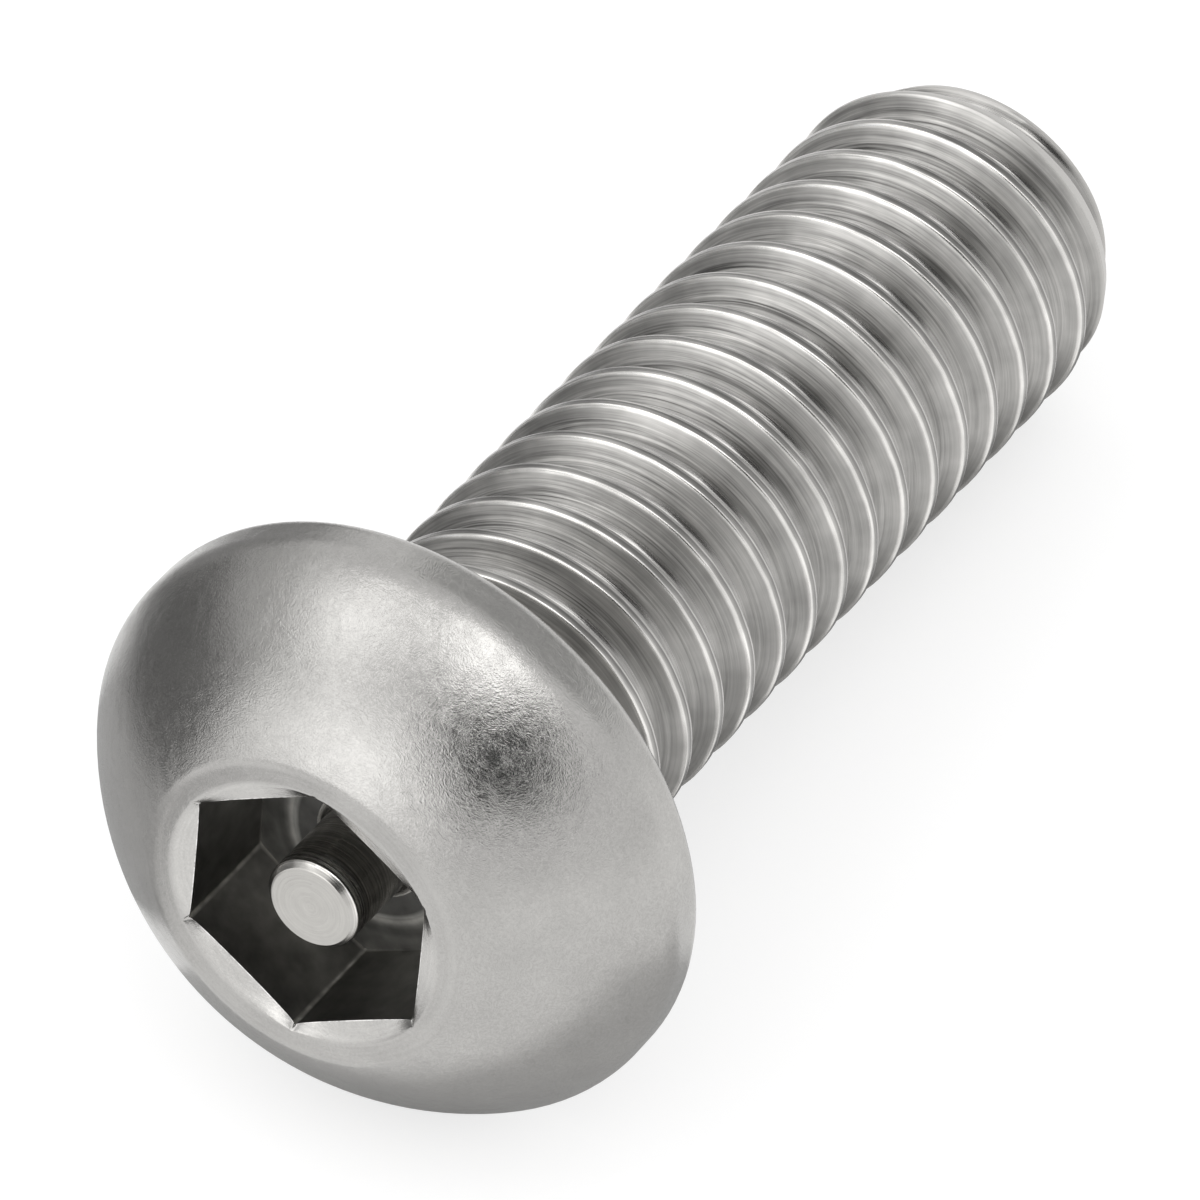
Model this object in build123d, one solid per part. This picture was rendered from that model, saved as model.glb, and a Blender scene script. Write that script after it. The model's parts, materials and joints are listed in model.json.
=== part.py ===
# Button head security screw, M6 x 18, stainless steel, with a pin in its hex socket.
# One cold-forged piece with a rolled thread, lying on its side as it comes to rest.
# It is first made upright, with the bearing face at z = 0, the thread up and the head down.
from build123d import *
from build123d.topology import SkipClean
import math
import os

# Thread, 6 mm coarse, right-hand
pitch = 1.0
major_radius = 2.96
crest_width = 0.171
flank_angle = 30.0
root_round = 0.145
groove_start = 0.332         # height of a groove's middle at angle 0, less whole pitches
seam_turn = 20.0             # the rod's side is eight arcs, which meet here and each 45 degrees on

# Shank
shank_length = 18.2
neck_radius = 2.66
neck_height = 0.85
neck_cone_height = 0.3
neck_fillet = 0.42
run_out_height = 1.9         # the grooves reach their full depth here
end_face_radius = 2.45
end_cone_height = 0.95

# Head, a low dome with a flat ring round the socket
head_radius = 5.25
head_height = 3.3
dome_radius = 5.6
ring_radius = 2.78
rim_height = 0.9             # the dome's edge stands this far above the bearing face
rim_round = 0.3

# Socket for a 4 mm key that has a hole for the pin
socket_across_flats = 4.08
socket_turn = 1.3
mouth_radius = 2.42
mouth_depth = 0.15           # the hexagon's straight edges lie this far below the flat ring
floor_depth = 2.03           # from the flat ring down to the floor round the pin
ledge_drop = 0.21            # the floor falls this much towards the hex walls
ledge_radius = 1.38
pin_radius = 0.79
pin_recess = 0.31            # the pin's end lies this far below the flat ring
pin_chamfer = 0.11
pin_foot_fillet = 0.14

# The groove's round bottom touches both flanks
flank_slope = math.tan(math.radians(flank_angle))
groove_half_width = (pitch - crest_width) / 2
root_centre = major_radius - groove_half_width / flank_slope + root_round / math.sin(math.radians(flank_angle))
root_radius = root_centre - root_round

# Levels along the axis, the head's being negative
top_z = -head_height
floor_z = top_z + floor_depth
pin_end_z = top_z + pin_recess
thread_end_z = shank_length - end_cone_height

# Lying down, it touches the surface with the head's rim and its last full thread
rest_tilt = math.degrees(math.asin((head_radius - major_radius) / (thread_end_z + rim_round)))


def bulge_point(start, end, radius, side):
    """The middle of the arc of this radius from start to end, on the left if side is 1."""
    dx = end[0] - start[0]
    dz = end[1] - start[1]
    chord = math.hypot(dx, dz)
    rise = side * (radius - math.sqrt(radius ** 2 - chord ** 2 / 4)) / chord
    return ((start[0] + end[0]) / 2 - dz * rise, (start[1] + end[1]) / 2 + dx * rise)


def turned(*edges):
    """The solid that a closed outline of (radius, height) edges makes round the axis."""
    outline = Face(Wire([Plane.XZ * edge for edge in edges]))
    return revolve(outline, Axis.Z)


def turned_polygon(*corners):
    """The same for an outline of straight edges."""
    loop = corners + corners[:1]
    return turned(*[Line(a, b) for a, b in zip(loop, loop[1:])])


def head():
    """The dome, its rounded rim, the bearing face, the neck and the core that ends the grooves."""
    ring_edge = (ring_radius, top_z)
    dome_edge = (head_radius, -rim_height)
    rim_start = (head_radius, -rim_round)
    rim_end = (head_radius - rim_round, 0)
    fillet_start = (neck_radius + neck_fillet, 0)
    fillet_end = (neck_radius, neck_fillet)
    quarter = rim_round * (1 - math.sqrt(0.5))
    fillet_quarter = neck_fillet * (1 - math.sqrt(0.5))
    return turned(
        Line((0, top_z), ring_edge),
        ThreePointArc(ring_edge, bulge_point(ring_edge, dome_edge, dome_radius, -1), dome_edge),
        Line(dome_edge, rim_start),
        ThreePointArc(rim_start, (head_radius - quarter, -quarter), rim_end),
        Line(rim_end, fillet_start),
        ThreePointArc(fillet_start, (neck_radius + fillet_quarter, fillet_quarter), fillet_end),
        Line(fillet_end, (neck_radius, neck_height)),
        Line((neck_radius, neck_height), (root_radius, run_out_height)),
        Line((root_radius, run_out_height), (0, run_out_height)),
        Line((0, run_out_height), (0, top_z)),
    )


def socket_mouth():
    """The lip that the punch draws in: it widens from the hexagon's edges to a circle on the flat ring."""
    corner_radius = socket_across_flats / math.sqrt(3)
    edge_z = top_z + mouth_depth
    sides = []
    arcs = []
    for number in range(6):
        angles = [socket_turn + 60 * number + step for step in (0, 30, 60)]
        corners = [Vector(corner_radius, 0, edge_z).rotate(Axis.Z, angle) for angle in angles]
        sides.append(Line(corners[0], corners[2]))
        arcs.append(ThreePointArc(*[Vector(mouth_radius, 0, top_z).rotate(Axis.Z, angle) for angle in angles]))
    return loft([Face(Wire(sides)), Face(Wire(arcs))], ruled=True)


def socket():
    """The punched hexagon with the room round the pin."""
    corner_radius = socket_across_flats / math.sqrt(3)
    above = top_z - 1
    hexagon = RegularPolygon(corner_radius, 6, rotation=socket_turn)
    prism = extrude(Pos(0, 0, above) * hexagon, amount=-above)
    foot = pin_radius + pin_foot_fillet
    foot_quarter = pin_foot_fillet * (1 - math.sqrt(0.5))
    ledge_slope = ledge_drop / (corner_radius - ledge_radius)
    outside = 2 * corner_radius
    wall_foot_z = floor_z + ledge_slope * (outside - ledge_radius)
    room = turned(
        Line((0, above), (outside, above)),
        Line((outside, above), (outside, wall_foot_z)),
        Line((outside, wall_foot_z), (ledge_radius, floor_z)),
        Line((ledge_radius, floor_z), (foot, floor_z)),
        ThreePointArc((foot, floor_z), (pin_radius + foot_quarter, floor_z - foot_quarter),
                      (pin_radius, floor_z - pin_foot_fillet)),
        Line((pin_radius, floor_z - pin_foot_fillet), (pin_radius, pin_end_z + pin_chamfer)),
        Line((pin_radius, pin_end_z + pin_chamfer), (pin_radius - pin_chamfer, pin_end_z)),
        Line((pin_radius - pin_chamfer, pin_end_z), (0, pin_end_z)),
        Line((0, pin_end_z), (0, above)),
    )
    return prism & room


def past(start, end):
    """The point as far beyond end as end is from start."""
    return (2 * end[0] - start[0], 2 * end[1] - start[1])


def shank_blank():
    """A rod whose side is eight arcs, coned at both ends."""
    arcs = []
    for number in range(8):
        angles = [seam_turn + 45 * number + step for step in (0, 22.5, 45)]
        arcs.append(ThreePointArc(*[Vector(major_radius, 0).rotate(Axis.Z, angle) for angle in angles]))
    rod = extrude(Face(Wire(arcs)), amount=shank_length, clean=False)
    neck_foot = (neck_radius, neck_height)
    neck_top = past(neck_foot, (major_radius, neck_height + neck_cone_height))
    end_edge = (end_face_radius, shank_length)
    end_top = past(end_edge, (major_radius, thread_end_z))
    inside = root_radius - root_round
    outside = major_radius + max(neck_top[0], end_top[0])
    neck_ring = turned_polygon(
        (inside, -neck_height),
        (outside, -neck_height),
        (outside, neck_top[1]),
        neck_top,
        neck_foot,
        (inside, neck_height),
    )
    end_ring = turned_polygon(
        end_edge,
        end_top,
        (outside, end_top[1]),
        (outside, shank_length + end_cone_height),
        (end_face_radius, shank_length + end_cone_height),
    )
    return rod - neck_ring - end_ring


def grooves():
    """The thread's groove, one solid for each turn, from the neck to past the end."""
    clear = crest_width / 2      # past the crests, where neighbouring lips still stand apart
    tangent_radius = root_centre - root_round * math.sin(math.radians(flank_angle))
    tangent_height = root_round * math.cos(math.radians(flank_angle))
    lip_radius = major_radius + clear
    lip_height = groove_half_width + clear * flank_slope
    section = Face(Wire([Plane.XZ * edge for edge in (
        Line((lip_radius, lip_height), (tangent_radius, tangent_height)),
        ThreePointArc((tangent_radius, tangent_height), (root_radius, 0), (tangent_radius, -tangent_height)),
        Line((tangent_radius, -tangent_height), (lip_radius, -lip_height)),
        Line((lip_radius, -lip_height), (lip_radius, lip_height)),
    )]))
    turn = sweep(section, path=Helix(pitch, pitch, root_radius), is_frenet=True)
    count = math.ceil(shank_length / pitch) + 1
    return [Pos(0, 0, groove_start + pitch * number) * turn for number in range(count)]


def screw():
    """The whole screw, upright."""
    with SkipClean():
        shank = shank_blank() - grooves()
        return shank + (head() - socket_mouth() - socket())


lying = Rot(0, 90 + rest_tilt, 0) * screw()
lying.label = "screw"
os.makedirs("parts", exist_ok=True)
export_step(lying, "parts/screw.step")
print("rest tilt", round(rest_tilt, 2), "lowest point", round(lying.bounding_box().min.Z, 3))
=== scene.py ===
# Button head security screw of stainless steel, lying on its side on a white table.
# The screw is made upright in mm, head down, then laid down in metres where the CAD solid lies.
import bpy
import bmesh
import json
import math
import numpy as np
from mathutils import Matrix, Vector


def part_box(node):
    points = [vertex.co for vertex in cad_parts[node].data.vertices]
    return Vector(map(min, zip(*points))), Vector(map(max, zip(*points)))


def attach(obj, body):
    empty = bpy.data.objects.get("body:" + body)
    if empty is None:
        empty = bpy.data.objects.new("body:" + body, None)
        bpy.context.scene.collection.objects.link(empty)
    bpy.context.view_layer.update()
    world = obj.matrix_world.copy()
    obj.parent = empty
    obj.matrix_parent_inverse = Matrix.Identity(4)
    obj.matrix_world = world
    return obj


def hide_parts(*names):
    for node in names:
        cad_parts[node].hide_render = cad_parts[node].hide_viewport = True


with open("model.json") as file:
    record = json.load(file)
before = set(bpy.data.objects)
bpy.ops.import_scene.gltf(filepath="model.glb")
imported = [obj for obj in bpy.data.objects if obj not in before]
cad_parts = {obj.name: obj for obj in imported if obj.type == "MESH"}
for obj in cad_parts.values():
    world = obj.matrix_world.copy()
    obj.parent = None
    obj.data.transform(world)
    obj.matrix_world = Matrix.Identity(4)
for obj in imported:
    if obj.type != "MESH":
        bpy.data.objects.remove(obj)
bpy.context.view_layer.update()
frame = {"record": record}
print("frame loaded")

mounts = {mount["name"]: mount for mount in frame["record"]["mounts"]}
screwAxis = Vector(mounts["bearing_face"]["axis"])
restTilt = math.asin(-screwAxis.z)
millimetre = 0.001
layDown = Matrix.Rotation(math.pi / 2 + restTilt, 4, "Y") @ Matrix.Scale(millimetre, 4)
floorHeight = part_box("screw")[0].z


# the camera, where the photographer stood
camera = {
    "place": (-0.10822897, -0.06750177, 0.13680874),
    "forward": (0.59717523, 0.35363728, -0.71994573),
    "lens": 358.496,
    "sensor": 36,
    "clip": (0.01, 20),
}


def addCamera(sizes):
    data = bpy.data.cameras.new("camera")
    data.sensor_width = sizes["sensor"]
    data.lens = sizes["lens"]
    data.clip_start, data.clip_end = sizes["clip"]
    viewer = bpy.data.objects.new("camera", data)
    viewer.location = sizes["place"]
    viewer.rotation_euler = Vector(sizes["forward"]).to_track_quat("-Z", "Y").to_euler()
    bpy.context.scene.collection.objects.link(viewer)
    bpy.context.scene.camera = viewer


addCamera(camera)
print("camera placed")


# nodes, for the thread's shape and for the finishes
def addNode(tree, kind, values=(), **settings):
    node = tree.nodes.new(kind)
    for name, value in settings.items():
        setattr(node, name, value)
    for key, value in dict(values).items():
        socket = node.inputs[key]
        if isinstance(value, bpy.types.NodeSocket):
            tree.links.new(value, socket)
        else:
            socket.default_value = value
    return node


def calc(tree, operation, *values):
    return addNode(tree, "ShaderNodeMath", enumerate(values), operation=operation).outputs[0]


# the thread, each size in mm a named input of its Geometry Nodes tree
thread = {
    "Pitch": 1.0,
    "Major Radius": 2.96,
    "Groove Start": 0.332,
    "Crest Width": 0.171,
    "Flank Slope": math.tan(math.radians(30)),
    "Root Softness": 0.26,
    "Crest Softness": 0.05,
    "Neck Radius": 2.66,
    "Neck Height": 0.85,
    "Neck Cone": 0.3,
    "Neck Blend": 0.3,
    "Run Out": 1.9,
    "End Radius": 2.54,
    "End Cone": 0.95,
    "Cone Softness": 0.06,
    "Shank Length": 18.19,
    "Top": 18.15,
    "Columns": 108,
    "Rows Per Pitch": 36,
    "Turns": 20,
    "Merge Distance": 0.0004,
}
# share of a turn's rows, and share of its pitch: rows lie closer at the root and at the crest
rowPlaces = ((0.139, 0.12), (0.306, 0.38), (0.694, 0.62), (0.861, 0.88))


def threadTree(sizes):
    tree = bpy.data.node_groups.new("rolledThread", "GeometryNodeTree")
    for name, value in sizes.items():
        kind = "NodeSocketInt" if isinstance(value, int) else "NodeSocketFloat"
        tree.interface.new_socket(name, in_out="INPUT", socket_type=kind)
    tree.interface.new_socket("Finish", in_out="INPUT", socket_type="NodeSocketMaterial")
    tree.interface.new_socket("Geometry", in_out="OUTPUT", socket_type="NodeSocketGeometry")
    given = addNode(tree, "NodeGroupInput").outputs

    def m(operation, *values):
        # one Math node, in which a name stands for that input
        return calc(tree, operation, *[given[v] if isinstance(v, str) else v for v in values])

    # a sheet of rows and columns, one row up per step of the profile
    rows = m("MULTIPLY", "Rows Per Pitch", "Turns")
    grid = addNode(tree, "GeometryNodeMeshGrid", {
        "Size X": given["Columns"], "Size Y": rows,
        "Vertices X": m("ADD", "Columns", 1), "Vertices Y": m("ADD", rows, 1)})
    position = addNode(tree, "GeometryNodeInputPosition").outputs[0]
    split = addNode(tree, "ShaderNodeSeparateXYZ", {0: position}).outputs
    column = m("ROUND", m("ADD", split[0], m("DIVIDE", "Columns", 2)))
    row = m("ROUND", m("ADD", split[1], m("DIVIDE", rows, 2)))
    turned = m("DIVIDE", column, "Columns")
    angle = m("MULTIPLY", turned, math.tau)

    # the row's height, kept between the neck and the shank's end
    step = m("DIVIDE", row, "Rows Per Pitch")
    spread = addNode(tree, "ShaderNodeFloatCurve", {"Value": m("FRACT", step)})
    curve = spread.mapping.curves[0]
    for at, value in rowPlaces:
        curve.points.new(at, value)
    for point in curve.points:
        point.handle_type = "VECTOR"
    spread.mapping.update()
    up = m("ADD", m("FLOOR", step), spread.outputs[0])
    lowest = m("SUBTRACT", "Groove Start", "Pitch")
    free = m("ADD", lowest, m("MULTIPLY", "Pitch", m("ADD", up, turned)))
    height = m("MINIMUM", m("MAXIMUM", free, "Neck Height"), "Top")

    # distance from the groove's middle, then the groove's radius there
    level = m("SUBTRACT", m("SUBTRACT", height, "Groove Start"), m("MULTIPLY", turned, "Pitch"))
    away = m("ABSOLUTE", m("MULTIPLY", "Pitch", m(
        "WRAP", m("DIVIDE", level, "Pitch"), 0.5, -0.5)))
    halfGroove = m("DIVIDE", m("SUBTRACT", "Pitch", "Crest Width"), 2)
    rootSquare = m("POWER", "Root Softness", 2)

    def climb(offset):
        # how far the flank has risen above the root's bottom, plus the softness
        return m("SQRT", m("ADD", rootSquare, m("POWER", m("DIVIDE", offset, "Flank Slope"), 2)))

    groove = m("ADD", "Major Radius", m("SUBTRACT", climb(away), climb(halfGroove)))
    rootRadius = m("ADD", "Major Radius", m("SUBTRACT", "Root Softness", climb(halfGroove)))
    radius = m("SMOOTH_MIN", groove, "Major Radius", "Crest Softness")

    # the cones at both ends, and the core that ends the grooves at the neck
    endCone = m("ADD", "End Radius", m("MULTIPLY", m("SUBTRACT", "Shank Length", height), m(
        "DIVIDE", m("SUBTRACT", "Major Radius", "End Radius"), "End Cone")))
    radius = m("SMOOTH_MIN", radius, endCone, "Cone Softness")
    past = m("SUBTRACT", height, "Neck Height")
    neckCone = m("ADD", "Neck Radius", m("MULTIPLY", past, m(
        "DIVIDE", m("SUBTRACT", "Major Radius", "Neck Radius"), "Neck Cone")))
    soft = m("MINIMUM", "Cone Softness", m("MULTIPLY", past, "Neck Blend"))
    radius = m("SMOOTH_MIN", radius, neckCone, soft)
    core = m("SUBTRACT", "Neck Radius", m("MULTIPLY", past, m(
        "DIVIDE", m("SUBTRACT", "Neck Radius", rootRadius),
        m("SUBTRACT", "Run Out", "Neck Height"))))
    radius = m("SMOOTH_MAX", radius, core, soft)

    place = addNode(tree, "ShaderNodeCombineXYZ", {
        0: m("MULTIPLY", radius, m("COSINE", angle)),
        1: m("MULTIPLY", radius, m("SINE", angle)),
        2: height})
    bent = addNode(tree, "GeometryNodeSetPosition", {
        "Geometry": grid.outputs["Mesh"], "Position": place.outputs[0]})
    merged = addNode(tree, "GeometryNodeMergeByDistance", {
        "Geometry": bent.outputs[0], "Distance": given["Merge Distance"]})
    real = addNode(tree, "GeometryNodeRealizeInstances", {"Geometry": merged.outputs[0]})
    finished = addNode(tree, "GeometryNodeSetMaterial", {
        "Geometry": real.outputs[0], "Material": given["Finish"]})
    addNode(tree, "NodeGroupOutput", {"Geometry": finished.outputs[0]})
    return tree


def rollThread(sizes, finish):
    tree = threadTree(sizes)
    blank = bpy.data.objects.new("threadBlank", bpy.data.meshes.new("threadBlank"))
    bpy.context.scene.collection.objects.link(blank)
    modifier = blank.modifiers.new("thread", "NODES")
    modifier.node_group = tree
    for socket in tree.interface.items_tree:
        if socket.in_out == "INPUT":
            modifier[socket.identifier] = sizes.get(socket.name, finish)
    ready = blank.evaluated_get(bpy.context.evaluated_depsgraph_get())
    mesh = bpy.data.meshes.new_from_object(ready)
    bpy.data.objects.remove(blank)
    return mesh


# the head, turned round the axis, with a hexagon in it, in mm; rows are shares of the way along
head = {
    "headRadius": 5.25,
    "topHeight": -3.3,
    "domeRadius": 5.6,
    "domeRows": (0.06, 0.88, 32),
    "ringRadius": 2.78,
    "ringRound": 0.35,
    "rimHeight": 0.9,
    "rimOverlap": 0.2,
    "faceTop": -0.01,
    "domeRound": 0.9,
    "rimRound": 0.3,
    "neckRadius": 2.66,
    "neckFillet": 0.42,
    "neckJoin": 0.6,
    "acrossFlats": 4.08,
    "cornerRound": 0.07,
    "socketTurn": 1.3,
    "wallRows": (0.02, 0.08, 0.2, 0.35, 0.5, 0.65, 0.8, 0.9, 0.96, 0.988, 1),
    "mouthRadius": 2.42,
    "mouthDepth": 0.15,
    "mouthCorner": 0.45,
    "mouthSpread": 0.25,
    "mouthSoftness": 0.12,
    "mouthRows": (0.04, 0.1, 0.25, 0.45, 0.65, 0.8, 0.9, 1, 1.3, 1.6, 2),
    "lipWidth": 0.1,
    "lipRadius": 2.54,
    "lipReach": 0.2,
    "floorHeight": -1.27,
    "floorRows": (0.3, 0.6, 0.9, 0.98, 1),
    "ledgeDrop": 0.21,
    "ledgeRadius": 1.38,
    "ledgeRows": (0.04, 0.3, 0.6, 0.85, 0.97, 1),
    "pinRadius": 0.815,
    "pinEnd": -3.08,
    "pinChamfer": 0.11,
    "pinRound": 0.05,
    "pinFoot": 0.14,
    "pinRows": (0.15, 0.35, 0.6, 0.85),
    "sideRows": (0.12, 0.35, 0.6, 0.85),
    "pinMarks": (-2.88, -2.82, -2.76),
    "markShape": ((-0.02, 0), (-0.008, 0.8), (0, 1), (0.008, 0.8), (0.02, 0)),
    "markDepth": 0.01,
}
# degrees from one corner of the hexagon to the next
sectorAngles = [0, 0.45, 0.95, 1.6, *np.linspace(3, 57, 19), 58.4, 59.05, 59.55]
closeRow = 0.02  # how far a row stands from the start and the end of a rounding


def hexRadius(sizes, angles):
    half = sizes["acrossFlats"] / 2
    fromCorner = np.abs((angles - sizes["socketTurn"] + 30) % 60 - 30)
    side = half / np.cos(np.radians(30 - fromCorner))
    soft = sizes["cornerRound"]
    centre = (half - soft) / math.cos(math.pi / 6)
    bend = np.radians(fromCorner)
    arc = centre * np.cos(bend) + np.sqrt(np.maximum(soft ** 2 - (centre * np.sin(bend)) ** 2, 0))
    reach = np.degrees(math.pi / 6 - math.atan(math.tan(math.pi / 6) * (1 - soft / half)))
    return np.where(fromCorner < reach, arc, side)


def roundOff(points, rounds, steps=5):
    # a profile of (radius, height) corners, some of them rounded, with a close row at each side
    out = [points[0]]
    for before, corner, after, soft in zip(points, points[1:], points[2:], rounds):
        corner = Vector(corner)
        a = (Vector(before) - corner).normalized()
        b = (Vector(after) - corner).normalized()
        half = a.angle(b) / 2
        reach = soft / math.tan(half)
        centre = corner + (a + b).normalized() * soft / math.sin(half)
        start = corner + a * reach - centre
        end = corner + b * reach - centre
        out.append(tuple(centre + start + a * closeRow))
        for step in range(steps + 1):
            mix = step / steps
            out.append(tuple(centre + (start * (1 - mix) + end * mix).normalized() * soft))
        out.append(tuple(centre + end + b * closeRow))
    return out + [points[-1]]


def pinRings(sizes):
    # the pin's end, its chamfer, its turning marks, its side and the fillet at its foot
    end, chamfer, pin = sizes["pinEnd"], sizes["pinChamfer"], sizes["pinRadius"]
    rings = [(share * (pin - chamfer), end) for share in sizes["pinRows"]]
    points = [(0.6 * pin, end), (pin - chamfer, end), (pin, end + chamfer),
              (pin, end + 2 * chamfer)]
    rings += roundOff(points, (sizes["pinRound"], sizes["pinRound"]), 3)[1:-1]
    for mark in sizes["pinMarks"]:
        for offset, depth in sizes["markShape"]:
            rings.append((pin - depth * sizes["markDepth"], mark + offset))
    foot, floor, lastMark = sizes["pinFoot"], sizes["floorHeight"], sizes["pinMarks"][-1]
    for share in sizes["sideRows"]:
        rings.append((pin, lastMark * (1 - share) + (floor - foot) * share))
    points = [(pin, floor - 3 * foot), (pin, floor), (pin + 2 * foot, floor)]
    rings += roundOff(points, (foot,))[1:-1]
    return [(radius, height, "pin") for radius, height in rings]


def socketRings(sizes, hexagon):
    # the floor, its ledge, the walls and the chamfered mouth
    pin, foot, floor = sizes["pinRadius"], sizes["pinFoot"], sizes["floorHeight"]
    ledge, top, mouth = sizes["ledgeRadius"], sizes["topHeight"], sizes["mouthRadius"]
    rings = []
    for share in sizes["floorRows"]:
        rings.append((pin + foot + share * (ledge - pin - foot), floor, "floor"))
    slope = sizes["ledgeDrop"] / (sizes["acrossFlats"] / math.sqrt(3) - ledge)
    for share in sizes["ledgeRows"]:
        radius = ledge + share * (hexagon - ledge)
        rings.append((radius, floor + slope * (radius - ledge), "floor"))
    # the mouth is shallower at the corners than along the flats
    aside = (hexagon.max() - hexagon) / (hexagon.max() - hexagon.min())
    corner = sizes["mouthCorner"]
    deep = sizes["mouthDepth"] * (corner + (1 - corner) * aside ** sizes["mouthSpread"])
    wallFoot = floor + slope * (hexagon - ledge)
    wallTop = top + deep
    for share in sizes["wallRows"]:
        rings.append((hexagon, wallFoot + share * (wallTop - wallFoot), "wall"))
    lipEnd = np.maximum(mouth, hexagon + sizes["lipWidth"])
    for share in sizes["mouthRows"]:
        past = share - 1
        if past < 0:
            radius = hexagon + share * (lipEnd - hexagon)
        else:
            radius = lipEnd * (1 - past) + sizes["lipRadius"] * past
            past *= sizes["lipReach"]
        sunk = (math.hypot(past, sizes["mouthSoftness"]) - past) / 2
        finish = "burr" if share == sizes["mouthRows"][0] else "mouth"
        rings.append((radius, top + deep * sunk, finish))
    return rings


def domeRings(sizes):
    # the flat ring, the dome, the rim, the bearing face and the neck
    top, ring, outer = sizes["topHeight"], sizes["ringRadius"], sizes["headRadius"]
    neck, rim = sizes["neckRadius"], -sizes["rimHeight"]
    domeStart, domeEnd = Vector((ring, top)), Vector((outer, rim))
    chord = domeEnd - domeStart
    sag = math.sqrt(sizes["domeRadius"] ** 2 - chord.length_squared / 4)
    centre = (domeStart + domeEnd) / 2 + Vector((-chord.y, chord.x)).normalized() * sag
    dome = []
    for share in np.linspace(*sizes["domeRows"]):
        ray = domeStart * (1 - share) + domeEnd * share - centre
        dome.append(tuple(centre + ray.normalized() * sizes["domeRadius"]))
    points = [(sizes["mouthRadius"], top), (ring, top), dome[0]]
    rings = roundOff(points, (sizes["ringRound"],), 6)[1:-1] + dome
    points = [dome[-1], (outer, rim), (outer, 0), (neck, 0), (neck, sizes["neckJoin"])]
    rounds = (sizes["domeRound"], sizes["rimRound"], sizes["neckFillet"])
    rings += roundOff(points, rounds, 8)[1:]
    edge, faceTop = outer - sizes["rimOverlap"], sizes["faceTop"]
    return [(radius, height, "dome" if height < faceTop or radius > edge else "underside")
            for radius, height in rings]


def headRings(sizes):
    # the angles round the axis, and each ring's radius and height at them
    angles = np.array([sizes["socketTurn"] + 60 * k + a for k in range(6) for a in sectorAngles])
    hexagon = hexRadius(sizes, angles)
    rings = pinRings(sizes) + socketRings(sizes, hexagon) + domeRings(sizes)
    ones = np.ones(len(angles))
    return angles, [(radius * ones, height * ones, finish) for radius, height, finish in rings]


def spinHead(bm, sizes, slots):
    angles, rings = headRings(sizes)
    turn = np.radians(angles)
    count = len(angles)
    rows = []
    for radius, height, finish in rings:
        points = np.column_stack([radius * np.cos(turn), radius * np.sin(turn), height])
        rows.append([bm.verts.new(point) for point in points])
    pole = bm.verts.new((0, 0, sizes["pinEnd"]))
    for k in range(count):
        face = bm.faces.new((pole, rows[0][(k + 1) % count], rows[0][k]))
        face.material_index = slots["pin"]
    for above, below, (radius, height, finish) in zip(rows, rows[1:], rings[1:]):
        for k in range(count):
            after = (k + 1) % count
            face = bm.faces.new((above[k], above[after], below[after], below[k]))
            face.material_index = slots[finish]
    return rows[-1]


def turnOf(vert):
    return math.atan2(vert.co.y, vert.co.x) % math.tau


def stitch(bm, first, second, slot):
    # joins two rings that have different numbers of points, going round by angle
    def wholeTurn(ring, k):
        return turnOf(ring[k % len(ring)]) + math.tau * (k // len(ring))

    first, second = sorted(first, key=turnOf), sorted(second, key=turnOf)
    i = j = 0
    while i < len(first) or j < len(second):
        here, there = first[i % len(first)], second[j % len(second)]
        isFirst = i < len(first) and wholeTurn(first, i + 1) < wholeTurn(second, j + 1)
        if j == len(second) or isFirst:
            corners = (here, first[(i + 1) % len(first)], there)
            i += 1
        else:
            corners = (here, second[(j + 1) % len(second)], there)
            j += 1
        bm.faces.new(corners).material_index = slot


def openLoops(bm):
    verts = {v for e in bm.edges if e.is_boundary for v in e.verts}
    middle = sum(v.co.z for v in verts) / len(verts)
    return [v for v in verts if v.co.z < middle], [v for v in verts if v.co.z > middle]


# the end face: degrees round its edge, then share of its radius and how far it is hollowed there
tip = {
    "edgeAngles": (18, 36, 54, 72, 90),
    "hollow": ((0.97, 0), (0.85, 0.01), (0.65, 0.03), (0.4, 0.045), (0.2, 0.05)),
    "middleDip": 0.05,
}


def closeTip(bm, ring, shape, sizes, slot):
    ring = sorted(ring, key=turnOf)
    count = len(ring)
    bevel = sizes["Shank Length"] - sizes["Top"]
    rows = [ring]
    for t in np.radians(shape["edgeAngles"]):
        inward, up = bevel * (1 - math.cos(t)), Vector((0, 0, bevel * math.sin(t)))
        rows.append([bm.verts.new(v.co + up - Vector((v.co.x, v.co.y, 0)).normalized() * inward)
                     for v in ring])
    edge = rows[-1]
    for share, dip in shape["hollow"]:
        rows.append([bm.verts.new((v.co.x * share, v.co.y * share, v.co.z - dip)) for v in edge])
    pole = bm.verts.new((0, 0, sizes["Shank Length"] - shape["middleDip"]))
    for low, high in zip(rows, rows[1:]):
        for k in range(count):
            after = (k + 1) % count
            face = bm.faces.new((low[k], low[after], high[after], high[k]))
            face.material_index = slot
    for k in range(count):
        face = bm.faces.new((rows[-1][k], rows[-1][(k + 1) % count], pole))
        face.material_index = slot


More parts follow.
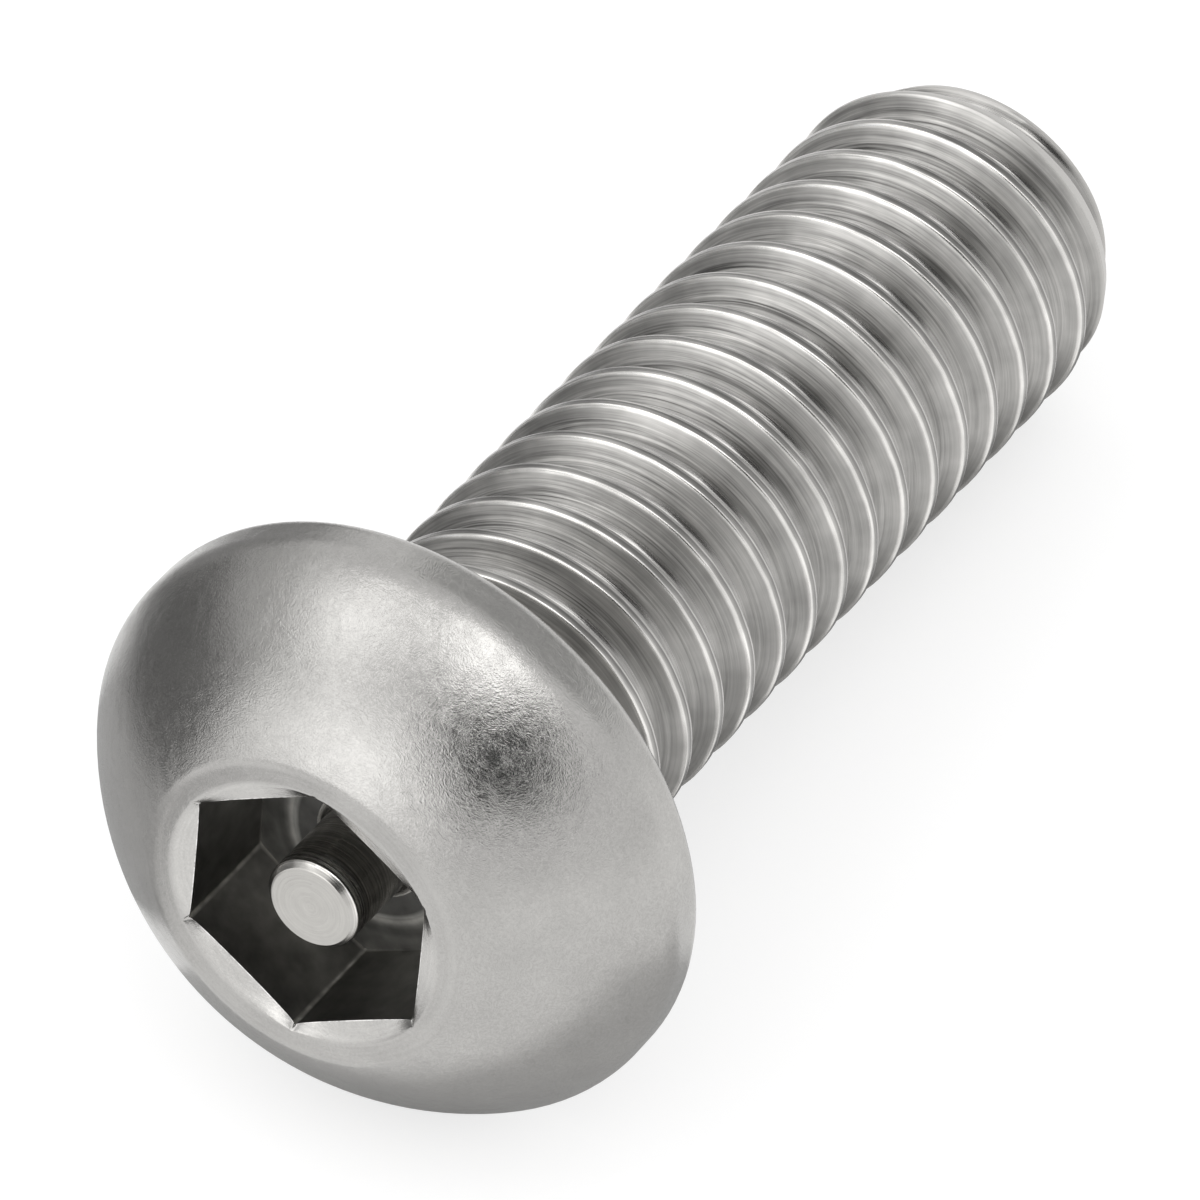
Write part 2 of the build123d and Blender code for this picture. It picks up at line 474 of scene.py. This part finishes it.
# what all the finishes share
def screwPlace():
    # the upright place of a point in mm, and its distance, turn and height
    group = bpy.data.node_groups.new("screwPlace", "ShaderNodeTree")
    outputs = {"Place": "Vector", "Distance": "Float", "Turn": "Float", "Height": "Float"}
    for name, kind in outputs.items():
        group.interface.new_socket(name, in_out="OUTPUT", socket_type="NodeSocket" + kind)
    source = addNode(group, "ShaderNodeTexCoord")
    upright = addNode(group, "ShaderNodeMapping", {
        "Vector": source.outputs["Object"],
        "Rotation": (0, -math.pi / 2 - restTilt, 0),
        "Scale": [1 / millimetre] * 3})
    parts = addNode(group, "ShaderNodeSeparateXYZ", {0: upright.outputs[0]}).outputs
    flat = addNode(group, "ShaderNodeCombineXYZ", {0: parts[0], 1: parts[1]})
    distance = addNode(group, "ShaderNodeVectorMath", {0: flat.outputs[0]}, operation="LENGTH")
    addNode(group, "NodeGroupOutput", {
        "Place": upright.outputs[0],
        "Distance": distance.outputs["Value"],
        "Turn": calc(group, "ARCTAN2", parts[1], parts[0]),
        "Height": parts[2]})
    return group


placeGroup = screwPlace()
# spans of a noise's values: nearly all, the middle ones, and those close to the middle
noiseSpan = (0.3, 0.7)
middleSpan = (0.35, 0.65)
sharpSpan = (0.4, 0.6)


def startMaterial(name, color, roughness=0.5):
    material = bpy.data.materials.new(name)
    material.use_nodes = True
    tree = material.node_tree
    shader = tree.nodes["Principled BSDF"]
    shader.inputs["Metallic"].default_value = 1
    shader.inputs["Base Color"].default_value = (*color, 1)
    shader.inputs["Roughness"].default_value = roughness
    place = addNode(tree, "ShaderNodeGroup", node_tree=placeGroup)
    return material, tree, shader, place.outputs


def noise(tree, vector, scale, detail=2, roughness=0.5, distortion=0.0):
    return addNode(tree, "ShaderNodeTexNoise", {
        "Vector": vector, "Scale": scale, "Detail": detail,
        "Roughness": roughness, "Distortion": distortion}).outputs["Fac"]


def stretch(tree, vector, scale):
    return addNode(tree, "ShaderNodeMapping", {"Vector": vector, "Scale": scale}).outputs[0]


def spanned(tree, value, low, high, start=0.0, end=1.0):
    # from low where the value is at its start to high where it is at its end
    return addNode(tree, "ShaderNodeMapRange", {
        "Value": value, "From Min": start, "From Max": end,
        "To Min": low, "To Max": high}).outputs[0]


def mixed(tree, share, first, second):
    return addNode(tree, "ShaderNodeMix", {"Factor": share, 2: first, 3: second}).outputs[0]


def shifted(tree, vector, way, reach):
    step = addNode(tree, "ShaderNodeVectorMath", {0: way, "Scale": reach}, operation="SCALE")
    moved = addNode(tree, "ShaderNodeVectorMath", {0: vector, 1: step.outputs[0]}, operation="ADD")
    return moved.outputs[0]


def product(tree, first, *others):
    for other in others:
        first = calc(tree, "MULTIPLY", first, other)
    return first


def ramp(tree, value, low, high, steps):
    # a curve of brightness over a range, as straight runs between the given steps
    node = addNode(tree, "ShaderNodeValToRGB", {"Fac": spanned(tree, value, 0, 1, low, high)})
    stops = node.color_ramp.elements
    top = max(level for at, level in steps)
    for number, (at, level) in enumerate(steps):
        place = (at - low) / (high - low)
        stop = stops[number] if number < 2 else stops.new(place)
        stop.position = place
        stop.color = (level / top, level / top, level / top, 1)
    return calc(tree, "MULTIPLY", node.outputs["Color"], top)


def colored(tree, shader, brightness, color):
    # the colour times a brightness that varies over the surface
    tint = addNode(tree, "ShaderNodeVectorMath", {0: color, 1: brightness}, operation="MULTIPLY")
    tree.links.new(tint.outputs[0], shader.inputs["Base Color"])


def emboss(tree, shader, height, depth, strength=1.0):
    # the depth is in metres
    bump = addNode(tree, "ShaderNodeBump", {
        "Height": height, "Strength": strength, "Distance": depth})
    tree.links.new(bump.outputs[0], shader.inputs["Normal"])


# the dome: tumbled steel with fine strokes round the axis, and a grain between them
domeFinish = {
    "color": (0.445, 0.437, 0.423),
    "roughness": (0.19, 0.25),
    "patternShade": (0.92, 1.08),
    "patternSpan": (0.42, 0.58),
    "cloudScale": 1.1,
    "cloudShade": (0.96, 1.04),
    "swirlScale": 4.0,
    "swirlReach": 0.35,
    "strokeScale": 34,
    "strokeReach": 0.022,
    "strokeShifts": (-1.5, -0.5, 0.5, 1.5),
    "strokeShare": 0.65,
    "grainScale": 17,
    "ringScale": 16,
    "ringShare": 0.4,
    "ringEdge": (2.75, 2.95),
    # a painted sheen at the socket's mouth, lighter colour that fades out over the mouth's edge
    "mouthSheen": 1.22,
    "mouthEdge": (2.34, 2.46),
    "depth": 0.00001,
}


def strokes(tree, vector, looks):
    # a grain drawn out round the screw's axis, without a seam: the mean of shifted grains
    kind = "ShaderNodeVectorMath"
    across = addNode(tree, kind, {0: vector, 1: (0, 0, 1)}, operation="CROSS_PRODUCT")
    along = addNode(tree, kind, {0: across.outputs[0]}, operation="NORMALIZE")
    total = None
    for shift in looks["strokeShifts"]:
        moved = shifted(tree, vector, along.outputs[0], shift * looks["strokeReach"])
        grain = noise(tree, moved, looks["strokeScale"], 1, 0.5, 0.6)
        total = grain if total is None else calc(tree, "ADD", total, grain)
    return calc(tree, "MULTIPLY", total, 1 / len(looks["strokeShifts"]))


def ringsOut(tree, place, scale):
    # a place that changes with the distance from the axis alone
    return addNode(tree, "ShaderNodeCombineXYZ", {
        0: calc(tree, "MULTIPLY", place["Distance"], scale)}).outputs[0]


def tumbledSteel(looks):
    material, tree, shader, place = startMaterial("tumbledSteel", looks["color"])
    cloud = noise(tree, place["Place"], looks["cloudScale"], 1)
    swirl = addNode(tree, "ShaderNodeTexNoise", {
        "Vector": place["Place"], "Scale": looks["swirlScale"], "Detail": 0})
    bent = shifted(tree, place["Place"], swirl.outputs["Color"], looks["swirlReach"])
    drawn = strokes(tree, bent, looks)
    grain = noise(tree, place["Place"], looks["grainScale"], 2, 0.6, 1.2)
    pattern = calc(tree, "ADD", calc(tree, "MULTIPLY", drawn, looks["strokeShare"]), calc(
        tree, "MULTIPLY", grain, 1 - looks["strokeShare"]))
    # the flat ring round the socket keeps fine turning marks, and its inner edge has a painted
    # sheen
    rings = addNode(tree, "ShaderNodeVectorMath", {
        0: ringsOut(tree, place, looks["ringScale"]), 1: place["Place"]}, operation="ADD")
    marks = spanned(tree, noise(tree, rings.outputs[0], 1, 1), *sharpSpan, *noiseSpan)
    onRing = spanned(tree, place["Distance"], looks["ringShare"], 0, *looks["ringEdge"])
    pattern = mixed(tree, onRing, pattern, marks)
    emboss(tree, shader, pattern, looks["depth"])
    rough = spanned(tree, pattern, *looks["roughness"], *sharpSpan)
    tree.links.new(rough, shader.inputs["Roughness"])
    light = product(
        tree, spanned(tree, pattern, *looks["patternShade"], *looks["patternSpan"]),
        spanned(tree, cloud, *looks["cloudShade"], *noiseSpan),
        spanned(tree, place["Distance"], looks["mouthSheen"], 1, *looks["mouthEdge"]))
    colored(tree, shader, light, looks["color"])
    return material


# the thread: rolled steel with streaks along its turns
threadFinish = {
    "color": (0.425, 0.417, 0.403),
    "fineScale": (9, 46, 1),
    "fineShare": 0.6,
    "broadScale": (4, 15, 1),
    "streakShade": (-1, 1),
    "streakSpan": (0.36, 0.64),
    "streakTurn": 2.6,
    "sideShare": (0.35, 1),
    "sideSpan": (-0.1, 0.7),
    "cloudScale": 1.7,
    "cloudShade": (0.86, 1.12),
    "waverScale": (30, 0.5, 1),
    "waver": 0.018,
    "coneStart": (17.1, 17.3),
    "coneMargin": (0.02, 0.08),
    "coneEdge": (18.1, 18.15),
    "coneShade": 1.35,
    "coneRoughness": 0.5,
    "coneStreaks": 0.15,
    "strength": (0.8, 0.1),
    "depth": 0.000006,
}
# brightness across a turn, from the middle of the crest: painted highlights along its two edges,
# a painted dark reflection on the flat between them, and slightly darker at the root
crestPaintedLight = ((-0.5, 0.85), (-0.4, 0.9), (-0.32, 0.95), (-0.17, 1.02), (-0.125, 1.1),
             (-0.103, 1.9), (-0.082, 1.9), (-0.06, 1.0), (-0.01, 0.72), (0.025, 0.56),
             (0.042, 1.3), (0.056, 1.3), (0.07, 0.8), (0.18, 0.9), (0.4, 0.9), (0.5, 0.85))
# how strongly the streaks show across a turn, and how rough it is
streakShow = ((-0.5, 0.2), (-0.38, 0.35), (-0.3, 0.75), (-0.24, 0.6), (-0.18, 0.3),
              (0.2, 0.3), (0.5, 0.2))
turnRough = ((-0.5, 0.2), (-0.4, 0.22), (-0.34, 0.34), (-0.3, 0.38), (-0.13, 0.36),
             (-0.1, 0.24), (0.06, 0.26), (0.1, 0.36), (0.4, 0.3), (0.5, 0.2))


def belowCone(tree, place, sizes):
    # how far a point lies inside the cone at the thread's end
    slope = (sizes["Major Radius"] - sizes["End Radius"]) / sizes["End Cone"]
    back = calc(tree, "SUBTRACT", sizes["Shank Length"], place["Height"])
    radius = calc(tree, "ADD", sizes["End Radius"], calc(tree, "MULTIPLY", back, slope))
    return calc(tree, "SUBTRACT", radius, place["Distance"])


def rolledSteel(looks, sizes):
    material, tree, shader, place = startMaterial("rolledSteel", looks["color"])
    turns = addNode(tree, "ShaderNodeUVMap", uv_map="turns").outputs[0]
    across = addNode(tree, "ShaderNodeSeparateXYZ", {0: turns}).outputs[1]
    fine = noise(tree, stretch(tree, turns, looks["fineScale"]), 1, 2, 0.6)
    broad = noise(tree, stretch(tree, turns, looks["broadScale"]), 1, 1, 0.5)
    streaks = calc(tree, "ADD", calc(tree, "MULTIPLY", fine, looks["fineShare"]), calc(
        tree, "MULTIPLY", broad, 1 - looks["fineShare"]))
    cloud = noise(tree, place["Place"], looks["cloudScale"], 2)
    waver = noise(tree, stretch(tree, turns, looks["waverScale"]), 1, 1)
    waver = spanned(tree, waver, -looks["waver"], looks["waver"])
    # painted highlights on the crest's edges and painted shade on its flat, in the colour
    crestLight = ramp(tree, calc(tree, "ADD", across, waver), -0.5, 0.5, crestPaintedLight)
    # the cone at the end is smoother and lighter, all but the groove that fades out in it
    cone = product(
        tree, spanned(tree, place["Height"], 0, 1, *looks["coneStart"]),
        spanned(tree, belowCone(tree, place, sizes), 1, 0, *looks["coneMargin"]))
    edge = spanned(tree, place["Height"], 0, 1, *looks["coneEdge"])
    cone = calc(tree, "MAXIMUM", cone, edge)
    emboss(tree, shader, streaks, looks["depth"], spanned(tree, cone, *looks["strength"]))
    crestLight = mixed(tree, cone, crestLight, looks["coneShade"])
    # the streaks are deepest along one side of the shank
    side = calc(tree, "COSINE", calc(tree, "SUBTRACT", place["Turn"], looks["streakTurn"]))
    side = product(
        tree, spanned(tree, side, *looks["sideShare"], *looks["sideSpan"]),
        spanned(tree, cone, 1, looks["coneStreaks"]))
    contrast = product(
        tree, ramp(tree, across, -0.5, 0.5, streakShow), side,
        spanned(tree, streaks, *looks["streakShade"], *looks["streakSpan"]))
    patches = mixed(tree, cone, spanned(tree, cloud, *looks["cloudShade"], *noiseSpan), 1.0)
    light = product(tree, calc(tree, "ADD", 1, contrast), patches, crestLight)
    colored(tree, shader, light, looks["color"])
    rough = mixed(tree, cone, ramp(tree, across, -0.5, 0.5, turnRough), looks["coneRoughness"])
    tree.links.new(rough, shader.inputs["Roughness"])
    return material


# the pin: finely turned, its marks strongest on its side and close to its end
pinFinish = {
    "color": (0.515, 0.503, 0.48),
    "roughness": 0.22,
    "markScale": 28,
    "markTurn": 0.5,
    "markShade": (0.95, 1.03),
    "cloudScale": 5,
    "cloudShade": (0.94, 1.04),
    "sideEdge": (0.76, 0.8),
    "sideHeights": (-2.75, -2.4),
    "sideShare": (1, 0.3),
    "sideShade": (-0.2, 1.3),
    "sideSpan": (0.42, 0.66),
    "strength": 0.6,
    "depth": 0.000006,
}


def turnedSteel(looks):
    material, tree, shader, place = startMaterial(
        "turnedSteel", looks["color"], looks["roughness"])
    rings = addNode(tree, "ShaderNodeCombineXYZ", {
        0: calc(tree, "MULTIPLY", place["Distance"], looks["markScale"]),
        1: calc(tree, "MULTIPLY", place["Height"], looks["markScale"]),
        2: calc(tree, "MULTIPLY", place["Turn"], looks["markTurn"])}).outputs[0]
    marks = noise(tree, rings, 1, 2, 0.6)
    emboss(tree, shader, marks, looks["depth"], looks["strength"])
    cloud = noise(tree, place["Place"], looks["cloudScale"], 2)
    shown = product(
        tree, spanned(tree, place["Distance"], 0, 1, *looks["sideEdge"]),
        spanned(tree, place["Height"], *looks["sideShare"], *looks["sideHeights"]),
        spanned(tree, marks, *looks["sideShade"], *looks["sideSpan"]))
    light = product(
        tree, spanned(tree, marks, *looks["markShade"], *middleSpan),
        spanned(tree, cloud, *looks["cloudShade"]), calc(tree, "ADD", 1, shown))
    colored(tree, shader, light, looks["color"])
    return material


# the socket: dark punched steel, with painted highlights along its corners and the foot of its
# walls
socketFinish = {
    "color": (0.12, 0.118, 0.112),
    "wallRoughness": 0.34,
    "floorRoughness": 0.55,
    "smearScale": (9, 9, 1.5),
    "cloudScale": 2.5,
    "cloudShade": (0.75, 1.2),
    "wallShade": 1.7,
    # how bright the painted highlights on the socket's corners and wall foot are
    "wallHighlightShade": 2.4,
    "cornerEdge": (0.015, 0.06),
    "cornerScale": 4,
    "cornerShade": (0.3, 1.2),
    "cornerFade": (2.2, 0.8),
    "cornerHeights": (-3.1, -2.5),
    "footHeights": (-1.16, -1.1),
    "ledgeSpan": (0.7, 2.4),
    "strength": 0.5,
    "depth": 0.000008,
}
# brightness by the distance from the axis, over the floor and its ledge: a painted highlight
# ring where the ledge starts, and the sloping ledge painted lighter than the floor inside it
ledgePaintedLight = ((0.8, 1.15), (1.3, 1.25), (1.36, 3.3), (1.39, 4.8), (1.44, 7.0), (1.48, 6.4),
             (1.55, 3.8), (1.63, 2.4), (1.72, 2.2), (1.83, 3.2), (2.1, 2.8))


# painted highlights: lighter colour along the socket's corners and the foot of its walls
def wallHighlights(tree, place, looks, sizes):
    turned = calc(tree, "SUBTRACT", place["Turn"], math.radians(sizes["socketTurn"]))
    apart = calc(tree, "WRAP", turned, math.pi / 6, -math.pi / 6)
    apart = calc(tree, "ABSOLUTE", calc(tree, "SINE", apart))
    aside = calc(tree, "MULTIPLY", place["Distance"], apart)
    worn = noise(tree, place["Place"], looks["cornerScale"], 2)
    corner = product(
        tree, spanned(tree, aside, 1, 0, *looks["cornerEdge"]),
        spanned(tree, worn, *looks["cornerShade"], *middleSpan),
        spanned(tree, place["Height"], *looks["cornerFade"], *looks["cornerHeights"]))
    foot = spanned(tree, place["Height"], 0, 1, *looks["footHeights"])
    highlights = calc(tree, "MAXIMUM", corner, foot)
    return calc(tree, "MULTIPLY", highlights, looks["wallHighlightShade"])


def punchedSteel(name, looks, isFloor):
    rough = looks["floorRoughness"] if isFloor else looks["wallRoughness"]
    material, tree, shader, place = startMaterial(name, looks["color"], rough)
    smear = noise(tree, stretch(tree, place["Place"], looks["smearScale"]), 1, 3, 0.6)
    emboss(tree, shader, smear, looks["depth"], looks["strength"])
    cloud = noise(tree, place["Place"], looks["cloudScale"], 3)
    light = spanned(tree, cloud, *looks["cloudShade"], *noiseSpan)
    if isFloor:
        # the painted highlight ring and the painted lighter ledge
        ledgeLight = ramp(tree, place["Distance"], *looks["ledgeSpan"], ledgePaintedLight)
        light = calc(tree, "MULTIPLY", light, ledgeLight)
    else:
        light = calc(tree, "ADD", calc(tree, "MULTIPLY", light, looks["wallShade"]), wallHighlights(
            tree, place, looks, head))
    colored(tree, shader, light, looks["color"])
    return material


# the bright burr along the socket's edge
burrFinish = {
    "color": (0.8, 0.79, 0.77),
    "roughness": 0.25,
    "wornScale": 9,
    "wornShade": (0.5, 1.2),
    "wornSpan": (0.3, 0.6),
}


def rubbedSteel(looks):
    material, tree, shader, place = startMaterial(
        "rubbedSteel", looks["color"], looks["roughness"])
    worn = noise(tree, place["Place"], looks["wornScale"], 2)
    light = spanned(tree, worn, *looks["wornShade"], *looks["wornSpan"])
    colored(tree, shader, light, looks["color"])
    return material


# the bearing face, darker than the rest and finely turned
faceFinish = {
    "color": (0.3, 0.295, 0.285),
    "roughness": 0.35,
    "ringScale": 14,
    "ringShade": (0.85, 1.15),
    "cloudScale": 1.6,
    "cloudShade": (0.9, 1.1),
    "strength": 0.8,
    "depth": 0.000006,
}


def facedSteel(looks):
    material, tree, shader, place = startMaterial(
        "facedSteel", looks["color"], looks["roughness"])
    marks = noise(tree, ringsOut(tree, place, looks["ringScale"]), 1, 3, 0.6)
    emboss(tree, shader, marks, looks["depth"], looks["strength"])
    cloud = noise(tree, place["Place"], looks["cloudScale"], 3)
    light = product(
        tree, spanned(tree, marks, *looks["ringShade"], *middleSpan),
        spanned(tree, cloud, *looks["cloudShade"], *noiseSpan))
    colored(tree, shader, light, looks["color"])
    return material


materials = {
    "dome": tumbledSteel(domeFinish),
    "thread": rolledSteel(threadFinish, thread),
    "pin": turnedSteel(pinFinish),
    "wall": punchedSteel("punchedWall", socketFinish, False),
    "floor": punchedSteel("punchedFloor", socketFinish, True),
    "burr": rubbedSteel(burrFinish),
    "underside": facedSteel(faceFinish),
}
slots = {name: k for k, name in enumerate(materials)}
slots["mouth"] = slots["dome"]
print("finishes mixed")


# the whole screw as one closed mesh
making = {
    "shortestEdge": 0.0002,
    "sharpAngle": 38,  # degrees
}


def layTurns(mesh, sizes):
    # a map that runs along the thread: turns made so far, and pitches from the crest's middle
    layer = mesh.uv_layers.new(name="turns")
    pitch = sizes["Pitch"]
    crest = sizes["Groove Start"] + pitch / 2
    places = np.zeros(len(mesh.vertices) * 3)
    mesh.vertices.foreach_get("co", places)
    places = places.reshape(-1, 3)
    turn = np.arctan2(places[:, 1], places[:, 0]) / math.tau
    for polygon in mesh.polygons:
        corners = list(polygon.vertices)
        middle = places[corners].mean(axis=0)
        at = math.atan2(middle[1], middle[0]) / math.tau
        number = round((middle[2] - at * pitch - crest) / pitch)
        for loop, corner in zip(polygon.loop_indices, corners):
            t = at + (turn[corner] - at + 0.5) % 1 - 0.5
            across = (places[corner, 2] - t * pitch - crest) / pitch - number
            layer.data[loop].uv = (number + t, across)


def makeScrew(sizes):
    threadMesh = rollThread(thread, materials["thread"])
    print("thread rolled", len(threadMesh.vertices), "points")
    bm = bmesh.new()
    bm.from_mesh(threadMesh)
    bpy.data.meshes.remove(threadMesh)
    bmesh.ops.dissolve_degenerate(bm, dist=sizes["shortestEdge"], edges=bm.edges)
    for face in bm.faces:
        face.material_index = slots["thread"]
    neckRing, tipRing = openLoops(bm)
    closeTip(bm, tipRing, tip, thread, slots["thread"])
    lastRing = spinHead(bm, head, slots)
    stitch(bm, lastRing, neckRing, slots["thread"])
    bmesh.ops.recalc_face_normals(bm, faces=bm.faces)
    # sharp where the walls meet the burr, and where faces meet at a steep angle
    burrEdge = {slots["wall"], slots["burr"]}
    for edge in bm.edges:
        isBurrEdge = {face.material_index for face in edge.link_faces} == burrEdge
        isFlat = edge.calc_face_angle(0) < math.radians(sizes["sharpAngle"])
        edge.smooth = isFlat and not isBurrEdge
    mesh = bpy.data.meshes.new("securityScrew")
    bm.to_mesh(mesh)
    bm.free()
    for material in materials.values():
        mesh.materials.append(material)
    layTurns(mesh, thread)
    mesh.polygons.foreach_set("use_smooth", [True] * len(mesh.polygons))
    mesh.transform(layDown)
    screw = bpy.data.objects.new("securityScrew", mesh)
    bpy.context.scene.collection.objects.link(screw)
    return screw


screw = makeScrew(making)
print("screw made", len(screw.data.polygons), "faces")
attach(screw, "root")
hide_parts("screw")


# the table, the lamps and the cards
studio = {
    "world": 0.95,
    "floorColor": (0.38, 0.38, 0.38),
    "floorGlow": 0.67,
    "floorSize": 3.0,
}
# name, azimuth and elevation seen from the head, distance, width, height, brightness
softboxes = [
    ("topBox", -128, 70, 0.5, 0.21, 0.32, 1.53),
    ("farBox", 167, 32, 0.5, 0.29, 0.29, 0.62),
    ("sideBox", 126, 58, 0.5, 0.23, 0.28, 1.0),
    ("lowBox", 160, 22, 0.6, 0.9, 0.3, 0.44),
]
# name, place, azimuth and elevation it faces, width, height, shade; seen in reflections only
lowSheet, highSheet = floorHeight + 0.00004, floorHeight + 0.00005
cards = [
    ("headCard", (-0.0056, 0.0185, 0.0015), -90, 0, 0.0168, 0.0142, 0.28),
    # a darker sheet on the table beside the head, seen in reflections only
    ("darkBesideHead", (-0.0056, 0.012, highSheet), 0, 90, 0.0168, 0.013, 0.5),
    # sheets on the table seen in reflections only: painted shadow under the head and the shank
    ("shadowUnderHead", (-0.0004, -0.0042, lowSheet), 0, 90, 0.0072, 0.0164, 0.6),
    ("shadowUnderShank", (0.0111, -0.0002, lowSheet), 0, 90, 0.0158, 0.0076, 0.45),
    ("threadCard", (0.0158, 0.02, 0.0037), -90, 0, 0.026, 0.0185, 0.5),
    ("highCard", (-0.004, 0.0187, 0.0133), -90, 0, 0.024, 0.0096, 0.84),
    ("backCard", (0.296, -0.079, 0.257), 165, -40, 0.46, 0.28, 0.82),
    ("cameraCard", (-0.205, -0.172, 0.225), 40, -40, 0.2, 0.2, 0.02),
]


def direction(azimuth, elevation):
    a, e = math.radians(azimuth), math.radians(elevation)
    return Vector((math.cos(a) * math.cos(e), math.sin(a) * math.cos(e), math.sin(e)))


def addSoftbox(name, azimuth, elevation, distance, width, height, brightness):
    data = bpy.data.lights.new(name, "AREA")
    data.shape = "RECTANGLE"
    data.size = width
    data.size_y = height
    data.energy = brightness * math.pi * width * height
    lamp = bpy.data.objects.new(name, data)
    ray = direction(azimuth, elevation)
    lamp.location = ray * distance
    lamp.rotation_euler = ray.to_track_quat("Z", "Y").to_euler()
    lamp.visible_camera = False
    bpy.context.scene.collection.objects.link(lamp)


def dullPaint(name, color):
    material = bpy.data.materials.new(name)
    material.use_nodes = True
    shader = material.node_tree.nodes["Principled BSDF"]
    shader.inputs["Base Color"].default_value = (*color, 1)
    shader.inputs["Roughness"].default_value = 1
    shader.inputs["Specular IOR Level"].default_value = 0
    return material, material.node_tree, shader


def plate(name, place, ray, width, height, material):
    mesh = bpy.data.meshes.new(name)
    corners = [(-width / 2, -height / 2, 0), (width / 2, -height / 2, 0),
               (width / 2, height / 2, 0), (-width / 2, height / 2, 0)]
    mesh.from_pydata(corners, [], [(0, 1, 2, 3)])
    mesh.transform(Matrix.Translation(place) @ ray.to_track_quat("Z", "Y").to_matrix().to_4x4())
    mesh.materials.append(material)
    card = bpy.data.objects.new(name, mesh)
    bpy.context.scene.collection.objects.link(card)
    return card


def addCard(name, place, azimuth, elevation, width, height, shade):
    material, tree, shader = dullPaint(name, (shade, shade, shade))
    card = plate(name, Vector(place), direction(azimuth, elevation), width, height, material)
    card.visible_camera = False
    card.visible_diffuse = False
    card.visible_shadow = False


def addTable(sizes):
    # the table glows where it is seen or mirrored, so that it is white and still takes a shadow
    material, tree, shader = dullPaint("whiteTable", sizes["floorColor"])
    path = addNode(tree, "ShaderNodeLightPath").outputs
    mirrored = calc(tree, "MAXIMUM", path["Is Glossy Ray"], path["Is Transmission Ray"])
    seen = calc(tree, "MAXIMUM", path["Is Camera Ray"], mirrored)
    glow = addNode(tree, "ShaderNodeEmission", {
        "Strength": calc(tree, "MULTIPLY", seen, sizes["floorGlow"])})
    both = addNode(tree, "ShaderNodeAddShader", {0: shader.outputs[0], 1: glow.outputs[0]})
    tree.links.new(both.outputs[0], tree.nodes["Material Output"].inputs["Surface"])
    size = sizes["floorSize"]
    plate("whiteTable", Vector((0, 0, floorHeight)), Vector((0, 0, 1)), size, size, material)


def lightWorld(sizes):
    world = bpy.data.worlds.new("studio")
    world.use_nodes = True
    background = world.node_tree.nodes["Background"]
    background.inputs["Color"].default_value = (1, 1, 1, 1)
    background.inputs["Strength"].default_value = sizes["world"]
    bpy.context.scene.world = world


addTable(studio)
lightWorld(studio)
for box in softboxes:
    addSoftbox(*box)
for card in cards:
    addCard(*card)
bpy.context.scene.view_settings.view_transform = "Standard"
print("studio lit")
